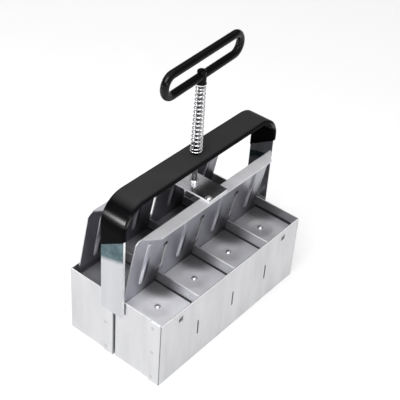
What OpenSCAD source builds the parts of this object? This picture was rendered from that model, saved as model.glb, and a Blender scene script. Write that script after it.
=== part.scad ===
// Soil blocker: two rows of four open sheet-metal cells, two press plates that
// share one sprung plunger, a bail handle and a T-handle.
// Z = 0 is the bottom rim, X runs along the rows, -Y is the front.

/* [Molds] */
// Inside length of one cell, along the row
cell_l = 50.5; // [46:0.5:54]
// Inside width of one cell, across the row
cell_w = 53; // [50:0.2:56]
// Height of the molds
mold_h = 74; // [70:1:80]
// Thickness of the sheet metal
sheet_t = 1.2; // [1:0.1:1.4]
// Slit left between the two molds
row_gap = 1.2; // [0.8:0.2:3]
// Width of the lap that each front wall folds round the end wall
lap_w = 12; // [8:1:16]
// Height of the dividers' tabs, and of the slits that they fill
tab_h = 17; // [10:1:24]
// Height of the tabs' lower edge
tab_z = 28; // [16:1:34]

/* [Press plates] */
// Underside of the pads at rest
pad_z = 61; // [56:1:64]
// Gap between a pad and the walls round it
pad_gap = 0.6; // [0.4:0.1:0.8]
// Lean of the webs towards the front, in degrees
web_lean = 10.4; // [8:0.2:12]
// Half width of the webs, over the ends of the row
web_half = 97; // [94:1:99]
// Top face of the flanges at rest
flange_z = 144; // [140:1:148]
// Depth of the flanges
flange_d = 11.6; // [10:0.2:14]
// How far the plunger travels
travel = 36; // [30:1:38]

/* [Plunger] */
// Width of the flat bar that joins the two flanges
bridge_w = 26; // [22:1:30]
// Thickness of that bar
bridge_t = 2; // [1.5:0.5:3]
// Diameter of the plunger rod
rod_d = 5; // [5:0.1:5.2]
// Width of the hexagon nuts over their flats
nut_af = 8; // [8:0.5:10]
// Height of the nuts
nut_h = 4; // [3:0.5:5]

/* [Bail handle] */
// Width of the steel strip
strip_w = 26; // [24:1:28]
// Thickness of the steel strip
strip_t = 2.5; // [2:0.5:3]
// Top face of the steel strip
strip_top = 177; // [172:1:180]
// Outer radius of the strip's two bends
bend_r = 25; // [22:1:32]
// Lower end of the legs
leg_z = 58; // [54:1:62]
// Thickness of the vinyl dip
dip_t = 1; // [0.8:0.1:1.4]

/* [Spring] */
// Diameter of the spring wire
wire_d = 1.4; // [1.2:0.1:1.4]
// Radius of the lowest curl, to the middle of the wire
coil_r_low = 5; // [4.8:0.1:5.4]
// Radius of the highest curl, to the middle of the wire
coil_r_high = 3.9; // [3.8:0.1:4.4]
// Number of curls
curls = 17; // [14:1:18]

/* [T-handle] */
// Half length of the loop, to the middle of its bar
loop_half = 55; // [45:0.5:60]
// Half height of the loop, to the middle of its bar
loop_r = 10; // [8.5:0.5:11]
// Height of the loop's middle
loop_z = 267.6; // [267:0.2:272]
// Diameter of the bar with its dip
grip_d = 7.6; // [7:0.2:9]
// Diameter of the bare bar
core_d = 5; // [4:0.5:5.5]
// Turn of the loop about the rod, in degrees
loop_turn = 4; // [0:1:8]
// How far the loop's middle stands off the rod, along the row
loop_x = 2.6; // [0:0.2:4]

/* [Hidden] */
$fn = 48;
cells = 4;
case_l = cells * cell_l + (cells + 1) * sheet_t;
case_w = cell_w + 2 * sheet_t;
cell_pitch = cell_l + sheet_t;
row_pitch = case_w + row_gap;
row_y = row_pitch / 2;
corner_r = 1.3;
fit_gap = 0.2;
slit_w = sheet_t + 0.8;
tab_recess = 0.8;

// Dividers stand between the cells, and ribs, pads and seed pins at the cells' middles
divider_x = [for (i = [1:cells - 1]) (i - cells / 2) * cell_pitch];
cell_x = [for (i = [0:cells - 1]) (i - (cells - 1) / 2) * cell_pitch];

// Lanced tongues in the end cells' front wall, which stop the pads on their way up
tongue_w = 4.4;
tongue_h = 5.5;
tongue_reach = 1.8;
tongue_z = pad_z + sheet_t + fit_gap;
tongue_relief = 0.5;

// Spot welds that hold the lap: shallow dimples cut by a ball
dimple_ball_r = 6;
dimple_depth = 0.4;
dimple_z = [6, 37, 67];

// Section of a press plate, across the row, with Y = 0 on the row's middle line
plate_back = cell_w / 2 - pad_gap;
plate_front = -plate_back;
plate_bend = 2.4;
flange_back = plate_back - (flange_z - pad_z) * tan(web_lean);
flange_front = flange_back - flange_d - sheet_t;
slot_w = sheet_t + 2 * pad_gap;
slot_wide = 3.8;
slot_wide_z = mold_h + 3;
slot_top = mold_h + travel + 0.5;
corner_x = web_half - 4.5;
corner_z = flange_z - 5;
flange_half = corner_x - 13.5;

// Ribs pressed forward out of each web
rib_r = 3;
rib_rise = 1.6;
rib_low = 79;
rib_high = 128;

// Seed pins
pin_shank_d = 3;
pin_head_r = 3;
pin_head_h = 1.6;
pin_d = 8;
pin_tip_d = 5;
pin_len = 7;

// Flat bar on the two flanges, and its two rivets
bridge_top = flange_z + bridge_t;
bridge_front = flange_front - row_y + 1.6;
bridge_back = flange_back + row_y - 1.4;
rivet_d = 4;
rivet_head_r = 3.2;
rivet_head_h = 1.6;
rivet_inset = 3.6;

// Rod with its nuts and washers
washer_t = 1;
washer_d = 10;
rod_low = flange_z - washer_t - nut_h - 1.5;
rod_high = loop_z - loop_r - 2;
neck_z = loop_z - loop_r - grip_d / 2 - 3.4;
neck_core_d = 7;
neck_d = 9;
stub_h = 4.8;
stub_dome = 1.8;
stub_d = 8.2;
stub_core_d = 6.2;
guide_gap = 0.05;

// Bail handle: the legs stand off the end walls by the thickness of the laps
leg_in = case_l / 2 + sheet_t;
leg_out = leg_in + strip_t;
dip_side = 0.8;
dip_line_z = 138.4;
dip_line_slope = 31.6;
leg_chamfer = 1.5;
weld_d = 5;
weld_y = 7;
weld_z = [63, 70];

// Spring, between the bail's dip and the washer under the T-handle's neck
seat_low = strip_top + dip_t;
seat_high = neck_z - washer_t;
curl_rings = 8;
wire_sides = 6;
elbow_r = 1;
end_pitch = 2;

// ---------- shared shapes ----------

// Rectangle with round corners, on its middle
module rounded_rect(w, l, r) {
    square([w - 2 * r, l], center = true);
    square([w, l - 2 * r], center = true);
    for (x = [-1, 1], y = [-1, 1])
        translate([x * (w / 2 - r), y * (l / 2 - r)]) circle(r);
}

// A section drawn across the row, run along X
module along_row(length) {
    rotate([90, 0, 90]) linear_extrude(length, center = true) children();
}

// A face drawn in X and Z, run along Y
module across_row(width) {
    rotate([90, 0, 0]) linear_extrude(width, center = true) children();
}

// Points of an arc in a plane
function arc(centre, r, from, to, steps = 6) =
    [for (i = [0:steps]) centre + r * [cos(from + (to - from) * i / steps),
                                       sin(from + (to - from) * i / steps)]];

// Shallow round head: a cap of height h cut from a ball
module domed_head(r, h) {
    ball_r = (r * r + h * h) / (2 * h);
    intersection() {
        translate([0, 0, h - ball_r]) sphere(ball_r);
        cylinder(h = h, r = r + 1);
    }
}

module hex_nut() {
    difference() {
        cylinder(h = nut_h, d = nut_af / cos(30), $fn = 6);
        translate([0, 0, -1]) cylinder(h = nut_h + 2, d = rod_d);
    }
}

module washer() {
    difference() {
        cylinder(h = washer_t, d = washer_d);
        translate([0, 0, -1]) cylinder(h = washer_t + 2, d = rod_d);
    }
}

// ---------- molds ----------

// Walls of one mold in plan, with the front wall's lap on the left end wall
module case_plan() {
    difference() {
        rounded_rect(case_l, case_w, corner_r);
        square([case_l - 2 * sheet_t, cell_w], center = true);
    }
    intersection() {
        rounded_rect(case_l + 2 * sheet_t, case_w, corner_r);
        translate([-case_l / 2 - sheet_t, -case_w / 2]) square([2 * sheet_t, lap_w]);
    }
}

// A tongue cut on three sides and bent into the cell, its free end down
module tongue() {
    along_row(tongue_w) polygon([
        [-case_w / 2, tongue_z + tongue_h + sheet_t],
        [-cell_w / 2, tongue_z + tongue_h + sheet_t],
        [-cell_w / 2 + tongue_reach, tongue_z],
        [-case_w / 2 + tongue_reach, tongue_z]]);
}

module mold_case() {
    difference() {
        linear_extrude(mold_h) case_plan();
        for (x = divider_x)
            translate([x - slit_w / 2, -case_w / 2 - 1, tab_z - fit_gap])
                cube([slit_w, case_w + 2, tab_h + 2 * fit_gap]);
        for (x = [cell_x[0], cell_x[cells - 1]])
            translate([x - tongue_w / 2 - tongue_relief, -case_w / 2 - 1, tongue_z - tongue_relief])
                cube([tongue_w + 2 * tongue_relief, sheet_t + 2, tongue_h + tongue_relief]);
        for (z = dimple_z)
            translate([-case_l / 2 - sheet_t - dimple_ball_r + dimple_depth, -case_w / 2 + lap_w * 0.75, z])
                sphere(dimple_ball_r);
    }
    for (x = [cell_x[0], cell_x[cells - 1]])
        translate([x, 0, 0]) tongue();
}

module front_mold_case() {
    color("gainsboro") translate([0, -row_y, 0]) mold_case();
}

module rear_mold_case() {
    color("gainsboro") translate([0, row_y, 0]) mold_case();
}

// One divider, with a tab through the slit in each long wall
module divider(x, y) {
    color("silver") translate([x, y, 0]) along_row(sheet_t) {
        translate([-cell_w / 2, 0]) square([cell_w, mold_h]);
        translate([-case_w / 2 + tab_recess, tab_z]) square([case_w - 2 * tab_recess, tab_h]);
    }
}

module front_divider_left() { divider(divider_x[0], -row_y); }
module front_divider_middle() { divider(divider_x[1], -row_y); }
module front_divider_right() { divider(divider_x[2], -row_y); }
module rear_divider_left() { divider(divider_x[0], row_y); }
module rear_divider_middle() { divider(divider_x[1], row_y); }
module rear_divider_right() { divider(divider_x[2], row_y); }

// ---------- bail handle ----------

// Arch of two legs and a top with round corners, filled down to z
module arch(half, top, r, z) {
    translate([-half, z]) square([2 * half, top - r - z]);
    translate([r - half, z]) square([2 * (half - r), top - z]);
    for (side = [-1, 1])
        translate([side * (half - r), top - r]) circle(r);
}

module bail_face(grow) {
    difference() {
        arch(leg_out + grow, strip_top + grow, bend_r + grow, leg_z);
        arch(leg_in - grow, strip_top - strip_t - grow, bend_r - strip_t - grow, leg_z - 1);
    }
}

module weld() {
    rotate([0, 90, 0]) cylinder(h = sheet_t + 1, d = weld_d);
}

module bail_strip() {
    color("lightgray") difference() {
        union() {
            across_row(strip_w) bail_face(0);
            // Projection welds reach the end walls where no lap lies between
            for (z = weld_z) {
                translate([-leg_in - 1, -weld_y, z]) weld();
                for (y = [-weld_y, weld_y])
                    translate([case_l / 2, y, z]) weld();
            }
        }
        cylinder(h = strip_top + 10, d = rod_d + 2 * guide_gap);
        // Chamfered lower corners
        for (x = [-1, 1], y = [-1, 1])
            translate([x * (leg_in + strip_t / 2), y * strip_w / 2, leg_z]) rotate([45, 0, 0])
                cube([2 * strip_t, leg_chamfer * sqrt(2), leg_chamfer * sqrt(2)], center = true);
    }
}

// Vinyl dip over the top and down the legs, which ends on a slant
module bail_grip() {
    color("dimgray") difference() {
        across_row(strip_w + 2 * dip_side) bail_face(dip_t);
        across_row(strip_w) bail_face(0);
        cylinder(h = strip_top + 10, r = coil_r_low - wire_d / 2 - 0.5);
        translate([0, 0, dip_line_z]) rotate([-dip_line_slope, 0, 0]) translate([-200, -100, -200])
            cube([400, 200, 200]);
    }
}

// ---------- press plates ----------

// Section: pad at the bottom, leaning web, and a flange bent forward at the top
function web_shift(z) = (z - pad_z) * tan(web_lean);

plate_low_centre = [plate_back - web_shift(pad_z + plate_bend) - plate_bend / cos(web_lean),
                    pad_z + plate_bend];
plate_high_centre = [plate_back - web_shift(flange_z - plate_bend) - plate_bend / cos(web_lean),
                     flange_z - plate_bend];

plate_section = concat(
    [[plate_front, pad_z]],
    arc(plate_low_centre, plate_bend, -90, web_lean),
    arc(plate_high_centre, plate_bend, web_lean, 90),
    [[flange_front, flange_z], [flange_front, flange_z - sheet_t]],
    arc(plate_high_centre, plate_bend - sheet_t, 90, web_lean),
    arc(plate_low_centre, plate_bend - sheet_t, web_lean, -90),
    [[plate_front, pad_z + sheet_t]]);

// The web's own frame: origin at the foot of its back face, Z up the web
module on_web() {
    translate([0, plate_back, pad_z]) rotate([web_lean, 0, 0]) children();
}

module rib(r) {
    length = (rib_high - rib_low) / cos(web_lean);
    translate([0, rib_r - rib_rise - sheet_t, (rib_low - pad_z) / cos(web_lean)]) {
        cylinder(h = length, r = r);
        sphere(r);
        translate([0, 0, length]) sphere(r);
    }
}

module plate_blank() {
    along_row(case_l - 2 * sheet_t - 2 * pad_gap) polygon(plate_section);
    intersection() {
        on_web() for (x = cell_x) translate([x, 0, 0]) rib(rib_r);
        on_web() translate([-web_half, -10, 0]) cube([2 * web_half, 10 - sheet_t / 2, flange_z]);
    }
}

module press_plate() {
    difference() {
        plate_blank();
        on_web() for (x = cell_x) translate([x, 0, 0]) rib(rib_r - sheet_t + 0.2);
        // Slots that let the plate down over the dividers, and part the pads; they are
        // wider in the web
        for (x = divider_x) {
            translate([x - slot_w / 2, plate_front - 1, pad_z - 1])
                cube([slot_w, case_w, slot_wide_z - pad_z + 2]);
            translate([x - slot_wide / 2, -case_w / 2, slot_wide_z])
                cube([slot_wide, case_w, slot_top - slot_wide / 2 - slot_wide_z]);
            translate([x, 0, slot_top - slot_wide / 2]) rotate([90, 0, 0])
                cylinder(h = case_w, d = slot_wide, center = true);
        }
        // Ends of the web, its top corners, and the flange's slanted ends
        for (side = [0, 1]) mirror([side, 0, 0]) {
            translate([web_half, -case_w / 2, pad_z + 2 * plate_bend]) cube([20, case_w, flange_z]);
            across_row(case_w) polygon([[corner_x, flange_z + 1], [corner_x, flange_z],
                                        [web_half + 0.01, corner_z], [web_half + 9, flange_z + 1]]);
            translate([0, 0, flange_z - 3]) linear_extrude(5)
                polygon([[corner_x, flange_back - sheet_t], [flange_half, flange_front - 0.01],
                         [flange_half, flange_front - 5], [web_half + 9, flange_front - 5],
                         [web_half + 9, flange_back - sheet_t]]);
        }
        for (x = cell_x)
            translate([x, 0, pad_z - 1]) cylinder(h = sheet_t + 2, d = pin_shank_d);
    }
}

// Where the bar's rivets go, one on each flange, in opposite corners
rivet_front = [-bridge_w / 2 + rivet_inset, bridge_front + rivet_inset];
rivet_back = [bridge_w / 2 - rivet_inset, bridge_back - rivet_inset - 2];

module rivet_hole(at) {
    translate([at.x, at.y, flange_z - sheet_t - 1]) cylinder(h = sheet_t + bridge_t + 2, d = rivet_d);
}

module front_press_plate() {
    color("darkgray") difference() {
        translate([0, -row_y, 0]) press_plate();
        rivet_hole(rivet_front);
    }
}

module rear_press_plate() {
    color("darkgray") difference() {
        translate([0, row_y, 0]) press_plate();
        rivet_hole(rivet_back);
    }
}

// A pin under each pad presses the seed hole; its shank is riveted over on top
module seed_pin() {
    translate([0, 0, pad_z - pin_len]) cylinder(h = pin_len, d1 = pin_tip_d, d2 = pin_d);
    translate([0, 0, pad_z]) cylinder(h = sheet_t, d = pin_shank_d);
    translate([0, 0, pad_z + sheet_t]) domed_head(pin_head_r, pin_head_h);
}

module front_seed_pins() {
    color("lightgray") for (x = cell_x) translate([x, -row_y, 0]) seed_pin();
}

module rear_seed_pins() {
    color("lightgray") for (x = cell_x) translate([x, row_y, 0]) seed_pin();
}

// ---------- plunger ----------

module bridge_bar() {
    color("lightgray") difference() {
        translate([-bridge_w / 2, bridge_front, flange_z])
            cube([bridge_w, bridge_back - bridge_front, bridge_t]);
        translate([0, 0, flange_z - 1]) cylinder(h = bridge_t + 2, d = rod_d);
        rivet_hole(rivet_front);
        rivet_hole(rivet_back);
    }
}

module bridge_rivets() {
    color("silver") for (at = [rivet_front, rivet_back]) translate([at.x, at.y, 0]) {
        translate([0, 0, flange_z - sheet_t]) cylinder(h = sheet_t + bridge_t, d = rivet_d);
        translate([0, 0, bridge_top]) domed_head(rivet_head_r, rivet_head_h);
        translate([0, 0, flange_z - sheet_t]) mirror([0, 0, 1]) domed_head(rivet_head_r, rivet_head_h);
    }
}

module plunger_rod() {
    color("silver") translate([0, 0, rod_low]) cylinder(h = rod_high - rod_low, d = rod_d);
}

module rod_upper_nut() {
    color("silver") translate([0, 0, bridge_top]) hex_nut();
}

module rod_lower_washer() {
    color("silver") translate([0, 0, flange_z - washer_t]) washer();
}

module rod_lower_nut() {
    color("silver") translate([0, 0, flange_z - washer_t - nut_h]) hex_nut();
}

module spring_washer() {
    color("silver") translate([0, 0, seat_high]) washer();
}

// ---------- T-handle ----------

// Closed oblong loop of round bar, standing on its long side
module loop(d) {
    rotate([0, 0, loop_turn]) translate([loop_x, 0, loop_z]) rotate([90, 0, 0]) {
        for (side = [0, 180]) rotate([0, 0, side]) {
            translate([loop_half - loop_r, 0, 0]) rotate([0, 0, -90])
                rotate_extrude(angle = 180) translate([loop_r, 0]) circle(d = d);
            translate([loop_half - loop_r, loop_r, 0]) rotate([0, -90, 0])
                cylinder(h = 2 * (loop_half - loop_r), d = d);
        }
    }
}

module neck(d) {
    translate([0, 0, neck_z]) cylinder(h = loop_z - loop_r - neck_z, d = d);
}

// The neck's upper end stands through the loop's lower bar
module stub(d) {
    translate([0, 0, loop_z - loop_r]) cylinder(h = stub_h, d = d);
}

module t_handle_bar() {
    color("dimgray") difference() {
        union() {
            loop(core_d);
            neck(neck_core_d);
            stub(stub_core_d);
        }
        translate([0, 0, neck_z - 1]) cylinder(h = rod_high - neck_z + 1, d = rod_d);
    }
}

module t_handle_grip() {
    color("black") difference() {
        union() {
            loop(grip_d);
            neck(neck_d);
            stub(stub_d);
            translate([0, 0, loop_z - loop_r + stub_h]) domed_head(stub_d / 2, stub_dome);
        }
        loop(core_d);
        stub(stub_core_d);
        translate([0, 0, -1]) neck(neck_core_d);
        neck(neck_core_d);
    }
}

// ---------- return spring ----------

// Middle line of the wire, as [point, direction, side] at each ring. The curls run
// close together at each end, and both ends turn upright to meet their seats square.
function radial(a) = [cos(a), sin(a), 0];
function around(a) = [-sin(a), cos(a), 0];

coil_low = seat_low + wire_d + elbow_r;
coil_high = seat_high - wire_d - elbow_r;
open_pitch = (coil_high - coil_low - 2 * end_pitch) / (curls - 2);

function coil_r(t) = coil_r_low + (coil_r_high - coil_r_low) * t / curls;
function coil_z(t) =
    t < 1 ? coil_low + end_pitch * t :
    t < curls - 1 ? coil_low + end_pitch + open_pitch * (t - 1) :
    coil_high - end_pitch * (curls - t);

function low_end() = [for (a = [-1, 0, 45])
    let (turn = max(a, 0), rise = a < 0 ? 0 : wire_d)
    [radial(0) * coil_r_low + around(0) * elbow_r * (1 - cos(turn))
         + [0, 0, seat_low + rise + elbow_r * sin(turn)],
     around(0) * sin(turn) + [0, 0, cos(turn)], radial(0)]];

// The first ring of the coil stands where the elbow ends
coil_from = atan(elbow_r / coil_r_low);
coil_turn = 360 * curls;
function coil_rings_at(i) = let (t = i / curl_rings, a = coil_from + 360 * t)
    [radial(a) * coil_r(t) + [0, 0, coil_z(t)], around(a), radial(a)];
function high_end() = let (a = coil_from + coil_turn, foot = radial(a) * coil_r_high)
    [for (b = [45, 90, 91]) let (turn = min(b, 90), rise = b > 90 ? wire_d : 0)
    [foot + around(a) * elbow_r * sin(turn) + [0, 0, coil_high + elbow_r * (1 - cos(turn)) + rise],
     around(a) * cos(turn) + [0, 0, sin(turn)], radial(a)]];

spring_path = concat(low_end(), [for (i = [0:curls * curl_rings]) coil_rings_at(i)], high_end());

// Least gap between the wire's surface and itself, half a curl or more away
spring_gap = min([for (i = [0:len(spring_path) - 1], j = [i + curl_rings / 2:1:len(spring_path) - 1])
    norm(spring_path[i][0] - spring_path[j][0])]) - wire_d;
echo(spring_gap_mm = spring_gap);

function wire_ring(p) = [for (k = [0:wire_sides - 1]) let (a = 360 * k / wire_sides)
    p[0] + wire_d / 2 * (cos(a) * p[2] + sin(a) * cross(p[1], p[2]))];

// Triangles of a tube through rings of n points each
function tube_sides(rings, n) = [for (i = [0:rings - 2], k = [0:n - 1])
    let (a = i * n + k, b = i * n + (k + 1) % n)
    each [[a, a + n, b], [b, a + n, b + n]]];
function tube_caps(rings, n) = concat(
    [for (k = [1:n - 2]) [0, k, k + 1]],
    [for (k = [1:n - 2]) [(rings - 1) * n, (rings - 1) * n + k + 1, (rings - 1) * n + k]]);

module return_spring() {
    rings = len(spring_path);
    color("silver") polyhedron(
        points = [for (p = spring_path) each wire_ring(p)],
        faces = concat(tube_sides(rings, wire_sides), tube_caps(rings, wire_sides)));
}

front_mold_case();
rear_mold_case();
front_divider_left();
front_divider_middle();
front_divider_right();
rear_divider_left();
rear_divider_middle();
rear_divider_right();
bail_strip();
bail_grip();
return_spring();
front_press_plate();
rear_press_plate();
front_seed_pins();
rear_seed_pins();
bridge_bar();
bridge_rivets();
plunger_rod();
rod_upper_nut();
rod_lower_washer();
rod_lower_nut();
spring_washer();
t_handle_bar();
t_handle_grip();
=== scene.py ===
import math

import bmesh
import bpy
from mathutils import Matrix, Vector


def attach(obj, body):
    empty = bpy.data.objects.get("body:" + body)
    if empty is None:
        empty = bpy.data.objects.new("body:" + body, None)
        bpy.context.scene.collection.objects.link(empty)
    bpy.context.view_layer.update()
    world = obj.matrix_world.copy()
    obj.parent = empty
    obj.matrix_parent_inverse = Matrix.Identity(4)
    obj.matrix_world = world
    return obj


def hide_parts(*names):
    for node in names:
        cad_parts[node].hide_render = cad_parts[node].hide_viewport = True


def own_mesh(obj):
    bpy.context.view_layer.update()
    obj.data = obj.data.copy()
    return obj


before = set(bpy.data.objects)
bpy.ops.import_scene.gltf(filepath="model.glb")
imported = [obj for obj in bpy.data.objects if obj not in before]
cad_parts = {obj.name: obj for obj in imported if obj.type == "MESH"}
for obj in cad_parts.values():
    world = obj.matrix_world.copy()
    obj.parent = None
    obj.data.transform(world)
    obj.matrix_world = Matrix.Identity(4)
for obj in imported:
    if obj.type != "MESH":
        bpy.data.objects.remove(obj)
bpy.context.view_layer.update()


# ---------- Camera ----------
# The tool is seen from above its front left corner, from about a metre away,
# with a slight roll of the camera.
azimuth, elevation, roll = math.radians(-53.2), math.radians(37.67), math.radians(4.47)
camera_at = Vector((-0.56225, -0.42910, 0.67165))

back = Vector((math.sin(azimuth) * math.cos(elevation),
               -math.cos(azimuth) * math.cos(elevation), math.sin(elevation)))
level_right = (-back).cross(Vector((0, 0, 1))).normalized()
level_up = level_right.cross(-back)
right = math.cos(roll) * level_right + math.sin(roll) * level_up
up = -math.sin(roll) * level_right + math.cos(roll) * level_up

camera = bpy.data.objects.new("Camera", bpy.data.cameras.new("Camera"))
camera.data.lens = 86.95
camera.data.sensor_width = 36.0
camera.matrix_world = Matrix.Translation(camera_at) @ Matrix((right, up, back)).transposed().to_4x4()
bpy.context.scene.collection.objects.link(camera)
bpy.context.scene.camera = camera


# ---------- Floor and light ----------
# A white sweep under the tool. The room is pale low down, dark at half height and bright
# overhead, with a soft box over the left front, a window at the back left, and a small
# lamp at the front that draws a line of light along round edges.
def new_material(name):
    material = bpy.data.materials.new(name)
    material.use_nodes = True
    tree = material.node_tree
    tree.nodes.clear()
    output = tree.nodes.new("ShaderNodeOutputMaterial")
    return material, tree, output


def add(tree, kind, inputs=None, **settings):
    """A new node, with its settings, and its inputs from values or from other sockets."""
    node = tree.nodes.new(kind)
    for key, value in settings.items():
        setattr(node, key, value)
    for key, value in (inputs or {}).items():
        if isinstance(value, bpy.types.NodeSocket):
            tree.links.new(value, node.inputs[key])
        else:
            node.inputs[key].default_value = value
    return node


floor_reach, floor_drop = 4.0, 0.0001
paper_grey, paper_lift = 0.72, 0.36
room_levels = [(0.0, 0.90), (0.10, 0.85), (0.24, 0.10), (0.56, 0.08), (0.70, 1.0), (1.0, 1.0)]
lit_spot = Vector((0, 0, 0.1))


def build_floor():
    """White paper that glows a little to the camera and in reflections."""
    mesh = bpy.data.meshes.new("floor")
    bm = bmesh.new()
    bmesh.ops.create_grid(bm, x_segments=1, y_segments=1, size=floor_reach)
    bmesh.ops.translate(bm, verts=bm.verts, vec=(0, 0, -floor_drop))
    bm.to_mesh(mesh)
    bm.free()
    floor = bpy.data.objects.new("floor", mesh)
    bpy.context.scene.collection.objects.link(floor)
    material, tree, output = new_material("white_sweep")
    paper = add(tree, "ShaderNodeBsdfPrincipled", {
        "Base Color": (paper_grey, paper_grey, paper_grey, 1), "Roughness": 0.9,
        "Specular IOR Level": 0.1, "Emission Color": (1, 1, 1, 1)})
    rays = add(tree, "ShaderNodeLightPath")
    seen = add(tree, "ShaderNodeMath", {0: rays.outputs["Is Camera Ray"],
                                        1: rays.outputs["Is Glossy Ray"]}, operation="MAXIMUM")
    seen = add(tree, "ShaderNodeMath", {0: seen.outputs[0],
                                        1: rays.outputs["Is Transmission Ray"]}, operation="MAXIMUM")
    lift = add(tree, "ShaderNodeMath", {0: seen.outputs[0], 1: paper_lift}, operation="MULTIPLY")
    tree.links.new(lift.outputs[0], paper.inputs["Emission Strength"])
    tree.links.new(paper.outputs[0], output.inputs["Surface"])
    mesh.materials.append(material)


def build_world():
    """Grey room, in levels from the horizon up."""
    world = bpy.data.worlds.new("room")
    bpy.context.scene.world = world
    world.use_nodes = True
    tree = world.node_tree
    tree.nodes.clear()
    output = tree.nodes.new("ShaderNodeOutputWorld")
    direction = add(tree, "ShaderNodeTexCoord")
    height = add(tree, "ShaderNodeSeparateXYZ", {0: direction.outputs["Generated"]})
    ramp = add(tree, "ShaderNodeValToRGB", {0: height.outputs["Z"]})
    while len(ramp.color_ramp.elements) < len(room_levels):
        ramp.color_ramp.elements.new(0.5)
    for element, (position, level) in zip(ramp.color_ramp.elements, room_levels):
        element.position = position
        element.color = (level, level, level, 1)
    light = add(tree, "ShaderNodeBackground", {"Color": ramp.outputs[0], "Strength": 1.0})
    tree.links.new(light.outputs[0], output.inputs["Surface"])


def area_light(name, at, size, power):
    lamp = bpy.data.lights.new(name, "AREA")
    lamp.energy = power
    lamp.size = size
    holder = bpy.data.objects.new(name, lamp)
    aim = lit_spot - Vector(at)
    turn = aim.to_track_quat("-Z", "Y").to_matrix().to_4x4()
    holder.matrix_world = Matrix.Translation(at) @ turn
    holder.visible_camera = False
    bpy.context.scene.collection.objects.link(holder)


build_floor()
build_world()
area_light("soft_box", (-0.42, -0.12, 0.80), 0.5, 4.1)
area_light("window", (-1.01, 0.58, 0.37), 0.16, 2.4)
area_light("edge_lamp", (-0.58, -0.99, 0.58), 0.08, 1.2)


# ---------- Molds ----------
# Two open cases bent from galvanised sheet, each lapped and spot-welded at its
# left front corner, with dividers tabbed through slits in the long walls.
MM, endless = 0.001, 1000
cells, cell_l, cell_w = 4, 50.5, 53.0
sheet_t, row_gap, mold_h, lap_w = 1.2, 1.2, 74, 12
cell_pitch = cell_l + sheet_t
case_half = (cells * cell_pitch + sheet_t) / 2
wall_y = cell_w / 2 + sheet_t
row_y = wall_y + row_gap / 2
rim_low, rim_high = mold_h - 0.5, mold_h + 0.5
pad_z = 61
pad_top = pad_z + sheet_t
weld_heights = (6, 37, 67)


def new_group(name, inputs, outputs):
    group = bpy.data.node_groups.new(name, "ShaderNodeTree")
    for label, kind, value in inputs:
        socket = group.interface.new_socket(name=label, in_out="INPUT", socket_type=kind)
        if value is not None:
            socket.default_value = value
    for label, kind in outputs:
        group.interface.new_socket(name=label, in_out="OUTPUT", socket_type=kind)
    return group, group.nodes.new("NodeGroupInput"), group.nodes.new("NodeGroupOutput")


def build_sheet_finish():
    """Soft mottle and fine rolling lines of zinc-coated sheet."""
    group, given, result = new_group(
        "sheet_finish",
        [("Vector", "NodeSocketVector", None), ("Light", "NodeSocketColor", (0.8, 0.8, 0.8, 1)),
         ("Dark", "NodeSocketColor", (0.6, 0.6, 0.6, 1)), ("Roughness", "NodeSocketFloat", 0.35),
         ("Stretch", "NodeSocketVector", (1, 1, 1)), ("Bump", "NodeSocketFloat", 0.1)],
        [("Color", "NodeSocketColor"), ("Roughness", "NodeSocketFloat"), ("Normal", "NodeSocketVector")])
    link = group.links.new
    stretched = add(group, "ShaderNodeVectorMath", {0: given.outputs["Vector"],
                                                    1: given.outputs["Stretch"]}, operation="MULTIPLY")
    cloud = add(group, "ShaderNodeTexNoise", {"Vector": stretched.outputs[0], "Scale": 70.0,
                                              "Detail": 2.0, "Roughness": 0.5})
    lines = add(group, "ShaderNodeTexNoise", {"Vector": stretched.outputs[0], "Scale": 1100.0,
                                              "Detail": 2.0, "Roughness": 0.6})
    tone = add(group, "ShaderNodeMapRange", {"Value": cloud.outputs["Fac"], "From Min": 0.3,
                                             "From Max": 0.7})
    tone = add(group, "ShaderNodeMix", {"Factor": 0.3, 2: tone.outputs[0], 3: lines.outputs["Fac"]})
    color = add(group, "ShaderNodeMix", {"Factor": tone.outputs[0], 6: given.outputs["Dark"],
                                         7: given.outputs["Light"]}, data_type="RGBA")
    rough = add(group, "ShaderNodeMapRange", {"Value": tone.outputs[0], "To Min": 1.15, "To Max": 0.85})
    rough = add(group, "ShaderNodeMath", {0: rough.outputs[0], 1: given.outputs["Roughness"]},
                operation="MULTIPLY")
    bump = add(group, "ShaderNodeBump", {"Strength": given.outputs["Bump"], "Distance": 0.00005,
                                         "Height": lines.outputs["Fac"]})
    wave = add(group, "ShaderNodeBump", {"Strength": given.outputs["Bump"], "Distance": 0.0012,
                                         "Height": cloud.outputs["Fac"], "Normal": bump.outputs[0]})
    link(color.outputs[2], result.inputs["Color"])
    link(rough.outputs[0], result.inputs["Roughness"])
    link(wave.outputs[0], result.inputs["Normal"])
    return group


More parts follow.
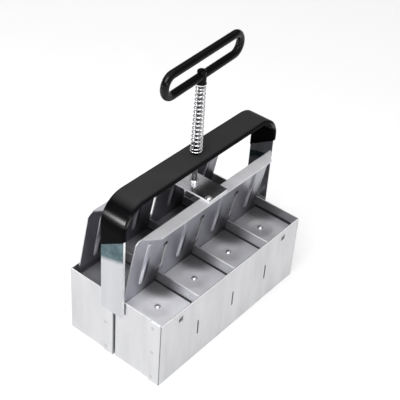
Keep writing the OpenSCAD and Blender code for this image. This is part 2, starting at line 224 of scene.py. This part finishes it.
def build_facing_band():
    """Mask of the faces that look along Facing, in a band of heights."""
    group, given, result = new_group(
        "facing_band",
        [("Vector", "NodeSocketVector", None), ("Facing", "NodeSocketVector", (0, 0, 1)),
         ("Low", "NodeSocketFloat", 0.0), ("High", "NodeSocketFloat", 1.0)],
        [("Mask", "NodeSocketFloat")])
    geometry = add(group, "ShaderNodeTexCoord")
    facing = add(group, "ShaderNodeVectorMath", {0: geometry.outputs["Normal"],
                                                 1: given.outputs["Facing"]}, operation="DOT_PRODUCT")
    turned = add(group, "ShaderNodeMapRange", {"Value": facing.outputs["Value"], "From Min": 0.8,
                                               "From Max": 0.95})
    place = add(group, "ShaderNodeSeparateXYZ", {0: given.outputs["Vector"]})
    above = add(group, "ShaderNodeMath", {0: place.outputs["Z"], 1: given.outputs["Low"]},
                operation="GREATER_THAN")
    below = add(group, "ShaderNodeMath", {0: place.outputs["Z"], 1: given.outputs["High"]},
                operation="LESS_THAN")
    band = add(group, "ShaderNodeMath", {0: above.outputs[0], 1: below.outputs[0]},
               operation="MULTIPLY")
    mask = add(group, "ShaderNodeMath", {0: band.outputs[0], 1: turned.outputs[0]},
               operation="MULTIPLY")
    group.links.new(mask.outputs[0], result.inputs["Mask"])
    return group


def build_patch():
    """Mask of an ellipsoid of half sizes Reach round Centre, with a soft rim of Softness."""
    group, given, result = new_group(
        "patch",
        [("Vector", "NodeSocketVector", None), ("Centre", "NodeSocketVector", (0, 0, 0)),
         ("Reach", "NodeSocketVector", (1, 1, 1)), ("Softness", "NodeSocketFloat", 0.3)],
        [("Mask", "NodeSocketFloat")])
    off = add(group, "ShaderNodeVectorMath", {0: given.outputs["Vector"],
                                              1: given.outputs["Centre"]}, operation="SUBTRACT")
    share = add(group, "ShaderNodeVectorMath", {0: off.outputs[0], 1: given.outputs["Reach"]},
                operation="DIVIDE")
    far = add(group, "ShaderNodeVectorMath", {0: share.outputs[0]}, operation="LENGTH")
    start = add(group, "ShaderNodeMath", {0: 1.0, 1: given.outputs["Softness"]}, operation="ADD")
    mask = add(group, "ShaderNodeMapRange", {"Value": far.outputs["Value"], "From Min": start.outputs[0],
                                             "From Max": 1.0, "To Min": 0.0, "To Max": 1.0})
    group.links.new(mask.outputs[0], result.inputs["Mask"])
    return group


sheet_finish = build_sheet_finish()
facing_band = build_facing_band()
patch = build_patch()


def use_group(tree, group, inputs):
    node = tree.nodes.new("ShaderNodeGroup")
    node.node_tree = group
    for key, value in inputs.items():
        if isinstance(value, bpy.types.NodeSocket):
            tree.links.new(value, node.inputs[key])
        else:
            node.inputs[key].default_value = value
    return node


# Tones for painted light and shade: dark painted patches, highlight lines painted on sheared faces, faces
# painted dark as shade, and the painted shade of the press plates' webs.
painted_shade_tone, painted_patch_blue, shaded_color = 0.08, 1.06, (0.05, 0.05, 0.055, 1)
highlight_blue, highlight_metallic = 1.02, 0.1
web_shade, pad_metallic, dish_depth = (0.61, 0.61, 0.66), 0.3, 2.2


def sheet_metal(name, light, dark, roughness, stretch, metallic, bright=(), shaded_faces=(), painted_patches=(),
                row=None, painted_cell_light=()):
    """Satin zinc-coated sheet, all sizes in mm. Bright holds (facing, low, high, tone) of sheared faces,
    painted light as highlight lines; shaded_faces holds (facing, low, high) of faces painted near black
    as shade. Painted patches hold (centre, reach, softness, amount), and a tone where they aren't dark:
    painted shade, or painted highlights where the tone is light. A sheet that names its row is a press
    plate: it sinks a little round each rivet, its web is painted darker than its pads as shade, and every
    cell repeats its painted light and shade, which are written as patches."""
    material, tree, output = new_material(name)
    spot = add(tree, "ShaderNodeTexCoord").outputs["Object"]
    finish = use_group(tree, sheet_finish, {
        "Vector": spot, "Light": (*light, 1), "Dark": (*dark, 1), "Roughness": roughness,
        "Stretch": stretch, "Bump": 0.1})
    color, normal, metal = finish.outputs["Color"], finish.outputs["Normal"], metallic

    def blend(share, color, tint):
        return add(tree, "ShaderNodeMix", {"Factor": share, 6: color, 7: tint},
                   data_type="RGBA").outputs[2]

    def faces(facing, low, high):
        return use_group(tree, facing_band, {"Vector": spot, "Facing": facing, "Low": low * MM,
                                          "High": high * MM}).outputs["Mask"]

    # Painted light or shade: a soft patch blended towards a dark or a light tone.
    def painted_patch(color, place, centre, reach, softness, amount, tone=painted_shade_tone):
        spread = use_group(tree, patch, {
            "Vector": place, "Centre": [c * MM for c in centre], "Reach": [r * MM for r in reach],
            "Softness": softness})
        share = add(tree, "ShaderNodeMath", {0: spread.outputs["Mask"], 1: amount},
                    operation="MULTIPLY")
        return blend(share.outputs[0], color, (tone, tone, tone * painted_patch_blue, 1))

    if row is not None:
        level = faces((0, 0, 1), 0, endless)
        # Painted shade: the web's colour is darkened below the pads'.
        web = add(tree, "ShaderNodeVectorMath", {0: color, 1: web_shade}, operation="MULTIPLY")
        color = blend(level, web.outputs[0], color)
        metal = add(tree, "ShaderNodeMix", {"Factor": level, 2: metallic, 3: pad_metallic}).outputs[0]
        cell = use_group(tree, cell_place, {"Vector": spot, "Row": row * MM})
        dish = use_group(tree, rivet_dish, {"Vector": cell.outputs["Place"]})
        normal = add(tree, "ShaderNodeBump", {
            "Strength": 1.0, "Distance": dish_depth * MM, "Normal": normal,
            "Height": dish.outputs["Height"]}).outputs[0]
        for mark in painted_cell_light:
            color = painted_patch(color, cell.outputs["Place"], *mark)
    # Painted highlight: sheared faces get a light, hardly metallic colour.
    for *face, tone in bright:
        mask = faces(*face)
        color = blend(mask, color, (tone, tone, tone * highlight_blue, 1))
        metal = add(tree, "ShaderNodeMix", {"Factor": mask, 2: metal, 3: highlight_metallic}).outputs[0]
    # Painted shade: faces in shade are painted near black.
    for face in shaded_faces:
        color = blend(faces(*face), color, shaded_color)
    for mark in painted_patches:
        color = painted_patch(color, spot, *mark)
    shader = add(tree, "ShaderNodeBsdfPrincipled", {
        "Base Color": color, "Metallic": metal, "Roughness": finish.outputs["Roughness"],
        "Normal": normal})
    tree.links.new(shader.outputs[0], output.inputs["Surface"])
    return material


def dress(material, *nodes):
    """Give the material to the nodes' solids."""
    for name in nodes:
        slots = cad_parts[name].data.materials
        slots.clear()
        slots.append(material)


# Painted shade: dark lines beside the lap, on its fold and along the front rim, shade inside the
# right end wall with a dark line where the pad meets it, and darker discs in the lap's spot-weld dimples.
case_painted_shade = []
for row in (-row_y, row_y):
    front, inside_end = row - wall_y, case_half - sheet_t
    case_painted_shade.append(((-case_half, front + lap_w + 0.2, 0), (0.5, 0.45, endless), 0.25, 0.6))
    case_painted_shade.append(((-case_half - 0.5, front + 0.3, 0), (0.5, 0.4, endless), 0.25, 0.7))
    case_painted_shade.append(((0, front + 1.1, mold_h), (case_half, 0.5, 0.5), 0.25, 0.8))
    case_painted_shade.append(((inside_end, row + 6, mold_h), (0.7, 30, 14), 0.6, 0.35))
    case_painted_shade.append(((inside_end, row, pad_top + 0.2), (0.7, 30, 1.6), 0.5, 0.9))
    for z in weld_heights:
        case_painted_shade.append(((-case_half - sheet_t, front + lap_w * 0.75, z), (1, 1.7, 1.7), 0.25, 0.2))
# Painted highlight: the rim's top faces are painted a light tone.
case_sheet = sheet_metal("case_sheet", (0.66, 0.66, 0.675), (0.565, 0.565, 0.58), 0.38, (1, 1, 0.2),
                         0.85, bright=[((0, 0, 1), rim_low, rim_high, 0.93)], painted_patches=case_painted_shade)
dress(case_sheet, "front_mold_case", "rear_mold_case")

# Painted shade on the dividers towards the back wall, and a painted dark line at the height of the pads.
shaded = []
for row in (-row_y, row_y):
    shaded.append(((0, row + 24, 70), (endless, 16, 40), 1.2, 0.65))
    shaded.append(((0, row, pad_top - 0.2), (endless, endless, 0.8), 0.6, 0.85))
# Painted highlight on the divider tops; the tab ends in the slits are painted near black as shade.
divider_sheet = sheet_metal("divider_sheet", (0.77, 0.77, 0.80), (0.63, 0.63, 0.66), 0.30,
                            (0.04, 1, 1), 0.5, bright=[((0, 0, 1), rim_low, rim_high, 0.93)],
                            shaded_faces=[((0, -1, 0), 0, rim_high), ((0, 1, 0), 0, rim_high)],
                            painted_patches=shaded)
dress(divider_sheet, "front_divider_left", "front_divider_middle", "front_divider_right",
      "rear_divider_left", "rear_divider_middle", "rear_divider_right")


# ---------- Press plates ----------
# One pressing for each row: four pads that sink a little round their rivets, a leaning
# web with ribs and slots, and a top flange. The sheared edges are painted bright as highlight lines.
half_cell, web_low, flange_z, travel = cell_pitch / 2, mold_h + 1.5, 144, 36
slot_wide_z, slot_top = mold_h + 3, mold_h + travel + 0.5
flange_low, flange_high = flange_z - 1.5, flange_z + 0.5
dish_in, dish_out, dish_clear = 3.5, 15, 66


def build_cell_place():
    """Place in a cell, from the cell's middle, which every cell of the row repeats."""
    group, given, result = new_group(
        "cell_place",
        [("Vector", "NodeSocketVector", None), ("Pitch", "NodeSocketFloat", cell_pitch * MM),
         ("Row", "NodeSocketFloat", 0.0)],
        [("Place", "NodeSocketVector")])
    place = add(group, "ShaderNodeSeparateXYZ", {0: given.outputs["Vector"]})
    half = add(group, "ShaderNodeMath", {0: given.outputs["Pitch"], 1: 0.5}, operation="MULTIPLY")
    in_cell = add(group, "ShaderNodeMath", {0: place.outputs["X"], 1: given.outputs["Pitch"], 2: 0.0},
                  operation="WRAP")
    along = add(group, "ShaderNodeMath", {0: in_cell.outputs[0], 1: half.outputs[0]},
                operation="SUBTRACT")
    across = add(group, "ShaderNodeMath", {0: place.outputs["Y"], 1: given.outputs["Row"]},
                 operation="SUBTRACT")
    joined = add(group, "ShaderNodeCombineXYZ", {0: along.outputs[0], 1: across.outputs[0],
                                                 2: place.outputs["Z"]})
    group.links.new(joined.outputs[0], result.inputs["Place"])
    return group


def build_rivet_dish():
    """Height of a shallow round dish about the middle of each pad. Above Top nothing sinks."""
    group, given, result = new_group(
        "rivet_dish",
        [("Vector", "NodeSocketVector", None), ("Inner", "NodeSocketFloat", dish_in * MM),
         ("Outer", "NodeSocketFloat", dish_out * MM), ("Top", "NodeSocketFloat", dish_clear * MM)],
        [("Height", "NodeSocketFloat")])
    place = add(group, "ShaderNodeSeparateXYZ", {0: given.outputs["Vector"]})
    flat = add(group, "ShaderNodeCombineXYZ", {0: place.outputs["X"], 1: place.outputs["Y"]})
    far = add(group, "ShaderNodeVectorMath", {0: flat.outputs[0]}, operation="LENGTH")
    bowl = add(group, "ShaderNodeMapRange", {
        "Value": far.outputs["Value"], "From Min": given.outputs["Inner"],
        "From Max": given.outputs["Outer"]}, interpolation_type="SMOOTHSTEP")
    above = add(group, "ShaderNodeMath", {0: place.outputs["Z"], 1: given.outputs["Top"]},
                operation="GREATER_THAN")
    height = add(group, "ShaderNodeMath", {0: bowl.outputs[0], 1: above.outputs[0]},
                 operation="MAXIMUM")
    group.links.new(height.outputs[0], result.inputs["Height"])
    return group


cell_place = build_cell_place()
rivet_dish = build_rivet_dish()

# Painted light and shade in each cell: two highlight streaks and a dark corner on each pad, shade
# on the web over that corner, the black gap by the divider, and a glint on the rib with a dark line
# beside it.
painted_cell_light = [((9, -13, pad_top), (6, 11, 3), 1.0, 0.5, 1.0),
         ((-6, 10, pad_top), (3.5, 10, 3), 1.1, 0.35, 1.0),
         ((21, 20, pad_top), (10, 13, 5), 1.0, 0.7), ((23, 22, 70), (9, 14, 24), 0.9, 0.6),
         ((half_cell, 0, pad_top), (2.0, 60, 2), 0.3, 0.95, 0.01),
         ((0.4, 14, 90), (2.0, 12, 9), 1.0, 0.9, 1.0), ((4.6, 14, 92), (1.4, 12, 10), 0.9, 0.75, 0.03)]
# Painted shade: black upper ends and wide feet of the slots.
for side in (-half_cell, half_cell):
    painted_cell_light.append(((side, 14, slot_top + 1), (2.7, 20, 2.9), 0.2, 0.97, 0.01))
    painted_cell_light.append(((side, 20, slot_wide_z + 1.5), (3.0, 20, 3.0), 0.2, 0.97, 0.01))


def press_sheet(name, light, dark, row):
    """Pressed sheet painted darker towards the right end of the row, as painted shade. The rear
    row's left end and the left part of the front flange are painted darker too."""
    # Painted highlight lines on the web's ends and slot edges, its left chamfer and the flange's front
    # edge.
    sheared = [((1, 0, 0), web_low, endless, 0.6), ((-1, 0, 0), web_low, endless, 0.7),
               ((-0.7, 0, 0.7), web_low, endless, 0.93), ((0, -1, 0), flange_low, flange_high, 0.93)]
    darker_zones = [((130, row, pad_top), (60, endless, 25), 3.0, 0.5)]
    if row > 0:
        darker_zones.append(((-100, row, pad_top), (45, 60, 8), 0.5, 0.6))
    else:
        darker_zones.append(((-45, row, flange_z), (60, 60, 3), 0.3, 0.27))
    return sheet_metal(name, light, dark, 0.32, (1, 0.12, 0.12), 0.85, bright=sheared, painted_patches=darker_zones,
                       row=row, painted_cell_light=painted_cell_light)


# The rear plate is the same pressing as the front, given darker colours as painted shade.
dress(press_sheet("front_press_sheet", (0.90, 0.90, 0.93), (0.76, 0.76, 0.79), -row_y),
      "front_press_plate")
dress(press_sheet("rear_press_sheet_shaded", (0.60, 0.60, 0.63), (0.46, 0.46, 0.49), row_y),
      "rear_press_plate")


# ---------- Bail handle ----------
# A flat steel strip bent into an arch and welded to both end walls. Its top and the upper
# parts of its legs are dipped in black vinyl, which ends on a slant over a dark teal band, a painted
# reflection.
strip_w, strip_t, strip_top, bend_r = 26.0, 2.5, 177.0, 25.0
strip_in = case_half + sheet_t
strip_out = strip_in + strip_t
dip, dip_side, dip_corner = 1.0, 0.8, 1.5
dip_line, dip_slope = 138.4, math.radians(31.6)
bore_r, drill_l, bore_sides = 3.8, 20, 48
leg_foot, end_round, bend_steps, corner_steps = 100.0, 0.35, 14, 5
# Bounds of the painted reflection under the dip, where it stops on the right leg's inner face, and its
# colours.
reflection_low, reflection_high, reflection_slope, reflection_drift = 119.0, 124.0, 0.27, 4.0
plain_from, face_reach = 129.0, 0.5
reflection_teal_dark, reflection_teal_light = (0.045, 0.085, 0.095, 1), (0.13, 0.19, 0.21, 1)


def bail_plating():
    """Bright strip with its front edges painted white as a highlight, and a dark teal band under the dip,
    a painted reflection. On the right leg's inner face the painted reflection stops short of the dip and
    leaves the steel plain."""
    material, tree, output = new_material("bail_plating")
    spot = add(tree, "ShaderNodeTexCoord")
    finish = use_group(tree, sheet_finish, {
        "Vector": spot.outputs["Object"], "Light": (0.57, 0.58, 0.60, 1),
        "Dark": (0.50, 0.51, 0.53, 1), "Roughness": 0.24, "Stretch": (1, 1, 0.04), "Bump": 0.05})
    # Painted reflection: a dark teal band under the dip, with a slanted, wavering lower edge.
    place = add(tree, "ShaderNodeSeparateXYZ", {0: spot.outputs["Object"]})
    haze = add(tree, "ShaderNodeTexNoise", {"Vector": spot.outputs["Object"], "Scale": 160.0})
    drift = add(tree, "ShaderNodeMath", {0: place.outputs["Y"], 1: reflection_slope, 2: place.outputs["Z"]},
                operation="MULTIPLY_ADD")
    drift = add(tree, "ShaderNodeMath", {0: haze.outputs["Fac"], 1: reflection_drift * MM, 2: drift.outputs[0]},
                operation="MULTIPLY_ADD")
    band = add(tree, "ShaderNodeMapRange", {"Value": drift.outputs[0], "From Min": reflection_low * MM,
                                            "From Max": reflection_high * MM})
    inside = add(tree, "ShaderNodeMath", {0: place.outputs["X"], 1: strip_in * MM, 2: face_reach * MM},
                 operation="COMPARE")
    high = add(tree, "ShaderNodeMath", {0: drift.outputs[0], 1: plain_from * MM},
               operation="GREATER_THAN")
    plain = add(tree, "ShaderNodeMath", {0: inside.outputs[0], 1: high.outputs[0]},
                operation="MULTIPLY")
    share = add(tree, "ShaderNodeMath", {0: band.outputs[0], 1: plain.outputs[0]},
                operation="SUBTRACT", use_clamp=True)
    mottle = add(tree, "ShaderNodeMapRange", {"Value": haze.outputs["Fac"], "From Min": 0.3,
                                              "From Max": 0.7})
    teal = add(tree, "ShaderNodeMix", {"Factor": mottle.outputs[0], 6: reflection_teal_dark,
                                       7: reflection_teal_light}, data_type="RGBA")
    with_reflection = add(tree, "ShaderNodeMix", {"Factor": share.outputs[0], 6: finish.outputs["Color"],
                                         7: teal.outputs[2]}, data_type="RGBA")
    # Painted highlight: the strip's front edges are painted near white.
    edge = use_group(tree, facing_band, {"Vector": spot.outputs["Object"], "Facing": (0, -1, 0)})
    color = add(tree, "ShaderNodeMix", {"Factor": edge.outputs["Mask"], 6: with_reflection.outputs[2],
                                        7: (0.96, 0.96, 0.97, 1)}, data_type="RGBA")
    shader = add(tree, "ShaderNodeBsdfPrincipled", {
        "Base Color": color.outputs[2], "Metallic": 0.95,
        "Roughness": finish.outputs["Roughness"], "Normal": finish.outputs["Normal"]})
    tree.links.new(shader.outputs[0], output.inputs["Surface"])
    return material


def build_vinyl_skin():
    """Slow sags and dust-fine grain of dipped vinyl."""
    group, given, result = new_group(
        "vinyl_skin",
        [("Vector", "NodeSocketVector", None), ("Color", "NodeSocketColor", (0.02, 0.02, 0.02, 1)),
         ("Roughness", "NodeSocketFloat", 0.3), ("Grain", "NodeSocketFloat", 0.25)],
        [("Color", "NodeSocketColor"), ("Roughness", "NodeSocketFloat"), ("Normal", "NodeSocketVector")])
    sag = add(group, "ShaderNodeTexNoise", {"Vector": given.outputs["Vector"], "Scale": 35.0,
                                            "Detail": 2.0})
    grain = add(group, "ShaderNodeTexNoise", {"Vector": given.outputs["Vector"], "Scale": 1400.0,
                                              "Detail": 1.0})
    gain = add(group, "ShaderNodeMapRange", {"Value": sag.outputs["Fac"], "To Min": 0.85,
                                             "To Max": 1.15})
    color = add(group, "ShaderNodeVectorMath", {0: given.outputs["Color"], "Scale": gain.outputs[0]},
                operation="SCALE")
    gloss = add(group, "ShaderNodeMath", {0: given.outputs["Roughness"], 1: gain.outputs[0]},
                operation="MULTIPLY")
    relief = add(group, "ShaderNodeMix", {"Factor": given.outputs["Grain"], 2: sag.outputs["Fac"],
                                          3: grain.outputs["Fac"]})
    bump = add(group, "ShaderNodeBump", {"Strength": 0.12, "Distance": 0.0003,
                                         "Height": relief.outputs[0]})
    group.links.new(color.outputs[0], result.inputs["Color"])
    group.links.new(gloss.outputs[0], result.inputs["Roughness"])
    group.links.new(bump.outputs[0], result.inputs["Normal"])
    return group


vinyl_skin = build_vinyl_skin()
# Heights of the satin top, and the band at its front edge where the painted sheen fades out.
satin_low, satin_high, sheen_fade_out, sheen_fade_in = 172.5, 177.9, -13.8, -10.8
gloss_low, gloss_mid, gloss_high, gloss_front, gloss_back = 160.0, 164.0, 172.0, -12.0, 14.0
leg_black, top_painted_sheen = (0.003, 0.003, 0.0035, 1), (0.034, 0.034, 0.035, 1)


def satin_vinyl():
    """Satin on the flat top, its colour lifted to grey as painted sheen that fades to black at the front
    edge, black on the legs, and glossy where the dip ran thick in the bends.
    """
    material, tree, output = new_material("satin_vinyl")
    spot = add(tree, "ShaderNodeTexCoord")
    place = add(tree, "ShaderNodeSeparateXYZ", {0: spot.outputs["Object"]})
    on_top = add(tree, "ShaderNodeMapRange", {"Value": place.outputs["Z"], "From Min": satin_low * MM,
                                              "From Max": satin_high * MM},
                 interpolation_type="SMOOTHSTEP")
    sheen_fade = add(tree, "ShaderNodeMapRange", {"Value": place.outputs["Y"], "From Min": sheen_fade_out * MM,
                                              "From Max": sheen_fade_in * MM})
    on_top = add(tree, "ShaderNodeMath", {0: on_top.outputs[0], 1: sheen_fade.outputs[0]},
                 operation="MULTIPLY")
    color = add(tree, "ShaderNodeMix", {"Factor": on_top.outputs[0], 6: leg_black, 7: top_painted_sheen},
                data_type="RGBA")
    rough = add(tree, "ShaderNodeMapRange", {"Value": on_top.outputs[0], "To Min": 0.2,
                                             "To Max": 0.46})
    skin = use_group(tree, vinyl_skin, {"Vector": spot.outputs["Object"], "Color": color.outputs[2],
                                        "Roughness": rough.outputs[0]})
    run_on = add(tree, "ShaderNodeMapRange", {"Value": place.outputs["Z"], "From Min": gloss_low * MM,
                                              "From Max": gloss_mid * MM})
    run_off = add(tree, "ShaderNodeMapRange", {"Value": place.outputs["Z"], "From Min": gloss_high * MM,
                                               "From Max": gloss_mid * MM})
    thick = add(tree, "ShaderNodeMath", {0: run_on.outputs[0], 1: run_off.outputs[0]},
                operation="MULTIPLY")
    front = add(tree, "ShaderNodeMapRange", {"Value": place.outputs["Y"],
                                             "From Min": gloss_front * MM, "From Max": gloss_back * MM,
                                             "To Min": 1.0, "To Max": 0.15})
    thick = add(tree, "ShaderNodeMath", {0: thick.outputs[0], 1: front.outputs[0]},
                operation="MULTIPLY")
    shader = add(tree, "ShaderNodeBsdfPrincipled", {
        "Base Color": skin.outputs["Color"], "Roughness": skin.outputs["Roughness"],
        "Normal": skin.outputs["Normal"], "Specular IOR Level": 0.015,
        "Coat Weight": thick.outputs[0], "Coat Roughness": 0.25})
    tree.links.new(shader.outputs[0], output.inputs["Surface"])
    return material


sharp_angle = math.radians(40)


def new_piece(name, bm):
    """Closed mesh in mm made a smooth-shaded object in metres."""
    bmesh.ops.recalc_face_normals(bm, faces=bm.faces)
    bm.transform(Matrix.Scale(MM, 4))
    mesh = bpy.data.meshes.new(name)
    bm.to_mesh(mesh)
    bm.free()
    mesh.shade_smooth()
    mesh.set_sharp_from_angle(angle=sharp_angle)
    piece = bpy.data.objects.new(name, mesh)
    bpy.context.scene.collection.objects.link(piece)
    return piece


def ends_of(edges):
    """Vertices of the edges, once each."""
    return list(dict.fromkeys(v for e in edges for v in e.verts))


def draw_out(bm, edges, vec):
    """Extrude open edges by vec and return the new ones."""
    grown = bmesh.ops.extrude_edge_only(bm, edges=edges)["geom"]
    bmesh.ops.translate(bm, verts=[g for g in grown if isinstance(g, bmesh.types.BMVert)], vec=vec)
    return [g for g in grown if isinstance(g, bmesh.types.BMEdge)]


def bend_round(bm, edges, centre):
    """Turn open edges a quarter round centre, from the left leg towards the right one."""
    grown = bmesh.ops.spin(bm, geom=ends_of(edges) + edges, cent=centre, axis=(0, 1, 0),
                           angle=math.pi / 2, steps=bend_steps, use_merge=False,
                           use_duplicate=False)
    return [g for g in grown["geom_last"] if isinstance(g, bmesh.types.BMEdge)]


def build_bail_skin():
    """Sleeve of the dip drawn along the arch, cut off on its slant, with the hole for the rod."""
    bend_x, bend_z = strip_out - bend_r, strip_top - bend_r
    bm = bmesh.new()
    section = bmesh.ops.create_grid(bm, x_segments=1, y_segments=1, size=0.5)["verts"]
    bmesh.ops.scale(bm, verts=section, vec=(strip_out - strip_in + 2 * dip, strip_w + 2 * dip_side, 1))
    bmesh.ops.bevel(bm, geom=section, offset=dip_corner, segments=corner_steps, profile=0.5,
                    affect="VERTICES", material=-1)
    bmesh.ops.delete(bm, geom=bm.faces[:], context="FACES_ONLY")
    bmesh.ops.translate(bm, verts=bm.verts, vec=(-(strip_in + strip_out) / 2, 0, leg_foot))
    rim = draw_out(bm, bm.edges[:], (0, 0, bend_z - leg_foot))
    rim = bend_round(bm, rim, (-bend_x, 0, bend_z))
    rim = draw_out(bm, rim, (2 * bend_x, 0, 0))
    rim = bend_round(bm, rim, (bend_x, 0, bend_z))
    draw_out(bm, rim, (0, 0, leg_foot - bend_z))
    cut = bmesh.ops.bisect_plane(
        bm, geom=bm.verts[:] + bm.edges[:] + bm.faces[:], dist=0.0001, plane_co=(0, 0, dip_line),
        plane_no=(0, math.sin(dip_slope), math.cos(dip_slope)), clear_inner=True)["geom_cut"]
    ends = [g for g in cut if isinstance(g, bmesh.types.BMEdge)]
    bmesh.ops.holes_fill(bm, edges=ends)
    bmesh.ops.bevel(bm, geom=[e for e in ends if e.is_valid], offset=end_round, segments=2,
                    profile=0.5, affect="EDGES", material=-1)
    skin = new_piece("bail_skin", bm)
    bore = bmesh.new()
    bmesh.ops.create_cone(bore, cap_ends=True, segments=bore_sides, radius1=bore_r, radius2=bore_r,
                          depth=drill_l, matrix=Matrix.Translation((0, 0, strip_top)))
    drill = new_piece("drill", bore)
    cut_out = skin.modifiers.new("bore", "BOOLEAN")
    cut_out.operation, cut_out.object, cut_out.solver = "DIFFERENCE", drill, "EXACT"
    drilled = skin.evaluated_get(bpy.context.evaluated_depsgraph_get())
    skin.data = bpy.data.meshes.new_from_object(drilled)
    skin.modifiers.clear()
    skin.modifiers.new("flat_faces", "WEIGHTED_NORMAL")
    bpy.data.objects.remove(drill)
    return skin


dress(bail_plating(), "bail_strip")
bail_skin = build_bail_skin()
bail_skin.data.materials.append(satin_vinyl())
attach(bail_skin, "mold")
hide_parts("bail_grip")


# ---------- Return spring ----------
# Hard-drawn wire wound round the rod, a little wider at the bottom, its ends
# turned upright against the bail and the washer.
streak_dark, streak_gloss, streak_dull = 0.9, 0.7, 1.3


def bright_metal(name, color, roughness):
    """Plated hardware with faint streaks."""
    material, tree, output = new_material(name)
    spot = add(tree, "ShaderNodeTexCoord")
    streak = add(tree, "ShaderNodeTexNoise", {"Vector": spot.outputs["Object"], "Scale": 600.0,
                                              "Detail": 2.0})
    tone = add(tree, "ShaderNodeMix", {"Factor": streak.outputs["Fac"],
                                       6: (*[c * streak_dark for c in color], 1), 7: (*color, 1)},
               data_type="RGBA")
    gloss = add(tree, "ShaderNodeMapRange", {"Value": streak.outputs["Fac"],
                                             "To Min": roughness * streak_gloss,
                                             "To Max": roughness * streak_dull})
    shader = add(tree, "ShaderNodeBsdfPrincipled", {"Base Color": tone.outputs[2], "Metallic": 1.0,
                                                    "Roughness": gloss.outputs[0]})
    tree.links.new(shader.outputs[0], output.inputs["Surface"])
    return material


spring_low, spring_high = strip_top + dip, 249.4
wire_r, elbow_r = 0.7, 1.0
coil_r_low, coil_r_high = 5.0, 3.9
curls, steps_a_curl, end_pitch = 17, 28, 2.0
wire_sides, elbow_steps = 12, 5


def build_spring():
    """Round wire drawn up from the bail, turned level, round the rod, and upright again."""
    bm = bmesh.new()
    ring = bmesh.ops.create_circle(bm, segments=wire_sides, radius=wire_r)["verts"]
    bmesh.ops.translate(bm, verts=ring, vec=(coil_r_low, 0, spring_low))
    rim = draw_out(bm, bm.edges[:], (0, 0, 2 * wire_r))

    def turn(rim, axis, centre, angle, vec=(0, 0, 0)):
        rim = draw_out(bm, rim, vec)
        bmesh.ops.rotate(bm, verts=ends_of(rim), cent=centre, matrix=Matrix.Rotation(angle, 3, axis))
        return rim

    elbow_turn = math.pi / 2 / elbow_steps
    elbow_z = spring_low + 2 * wire_r
    for _ in range(elbow_steps):
        rim = turn(rim, "X", (0, elbow_r, elbow_z), -elbow_turn)
    coil_low, coil_high = elbow_z + elbow_r, spring_high - 2 * wire_r - elbow_r
    open_pitch = (coil_high - coil_low - 2 * end_pitch) / (curls - 2)
    inward = (coil_r_high - coil_r_low) / (curls * steps_a_curl)
    for step in range(curls * steps_a_curl):
        curl = step // steps_a_curl
        pitch = end_pitch if curl in (0, curls - 1) else open_pitch
        angle = 2 * math.pi * step / steps_a_curl
        drift = (inward * math.cos(angle), inward * math.sin(angle), pitch / steps_a_curl)
        rim = turn(rim, "Z", (0, 0, 0), 2 * math.pi / steps_a_curl, drift)
    for _ in range(elbow_steps):
        rim = turn(rim, "X", (0, elbow_r, coil_high + elbow_r), elbow_turn)
    draw_out(bm, rim, (0, 0, 2 * wire_r))
    bmesh.ops.holes_fill(bm, edges=[e for e in bm.edges if e.is_boundary])
    return new_piece("spring_wire", bm)


spring = build_spring()
spring.data.materials.append(bright_metal("spring_wire_bright", (0.86, 0.86, 0.88), 0.12))
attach(spring, "mold")
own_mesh(spring)
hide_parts("return_spring")


# ---------- Plunger hardware ----------
# The rod with its nuts and washers, the flat bar over the two flanges, its
# rivets, and the seed pins riveted through the pads.
# The rod is given a dark colour as painted shade, so that it reads dark inside the spring.
dress(bright_metal("rod_steel_painted_dark", (0.22, 0.22, 0.23), 0.12), "plunger_rod")
dress(bright_metal("hardware_plating", (0.78, 0.78, 0.80), 0.14), "rod_upper_nut",
      "rod_lower_washer", "rod_lower_nut", "spring_washer")
bar_low, bar_top, bar_high = flange_z - 0.5, flange_z + 2, flange_z + 2.5
# Painted highlights: the bar's left and front edges are painted light, and a light streak runs along its
# top near the left end.
bar_plating = sheet_metal("bar_plating", (0.95, 0.95, 0.97), (0.80, 0.80, 0.83), 0.23, (1, 0.1, 1), 1.0,
                          bright=[((-1, 0, 0), bar_low, bar_high, 0.93),
                                  ((0, -1, 0), bar_low, bar_high, 0.93)],
                          painted_patches=[((-13, 3, bar_top), (2.0, 22, 1), 0.4, 0.8, 0.9)])
dress(bar_plating, "bridge_bar")
dress(bright_metal("rivet_plating", (0.76, 0.76, 0.77), 0.3), "bridge_rivets", "front_seed_pins",
      "rear_seed_pins")


# ---------- T-handle ----------
# A closed loop of round bar with a neck on the rod, dipped in glossy black vinyl, which
# shines most round the two ends.
shine_from, shine_full = 40.0, 56.0


def gloss_vinyl():
    """Near-black dip with a thicker, glossier coat round the ends of the loop."""
    material, tree, output = new_material("gloss_vinyl")
    spot = add(tree, "ShaderNodeTexCoord")
    skin = use_group(tree, vinyl_skin, {"Vector": spot.outputs["Object"], "Grain": 0.05,
                                        "Color": (0.004, 0.004, 0.0045, 1), "Roughness": 0.12})
    place = add(tree, "ShaderNodeSeparateXYZ", {0: spot.outputs["Object"]})
    side = add(tree, "ShaderNodeMath", {0: place.outputs["X"]}, operation="ABSOLUTE")
    ends = add(tree, "ShaderNodeMapRange", {"Value": side.outputs[0], "From Min": shine_from * MM,
                                            "From Max": shine_full * MM, "To Max": 0.35})
    shader = add(tree, "ShaderNodeBsdfPrincipled", {
        "Base Color": skin.outputs["Color"], "Roughness": skin.outputs["Roughness"],
        "Normal": skin.outputs["Normal"], "Specular IOR Level": 0.06,
        "Coat Weight": ends.outputs[0], "Coat Roughness": 0.04})
    tree.links.new(shader.outputs[0], output.inputs["Surface"])
    return material


dress(bright_metal("bare_bar", (0.5, 0.5, 0.5), 0.4), "t_handle_bar")
dress(gloss_vinyl(), "t_handle_grip")


bpy.context.scene.view_settings.view_transform = "Standard"
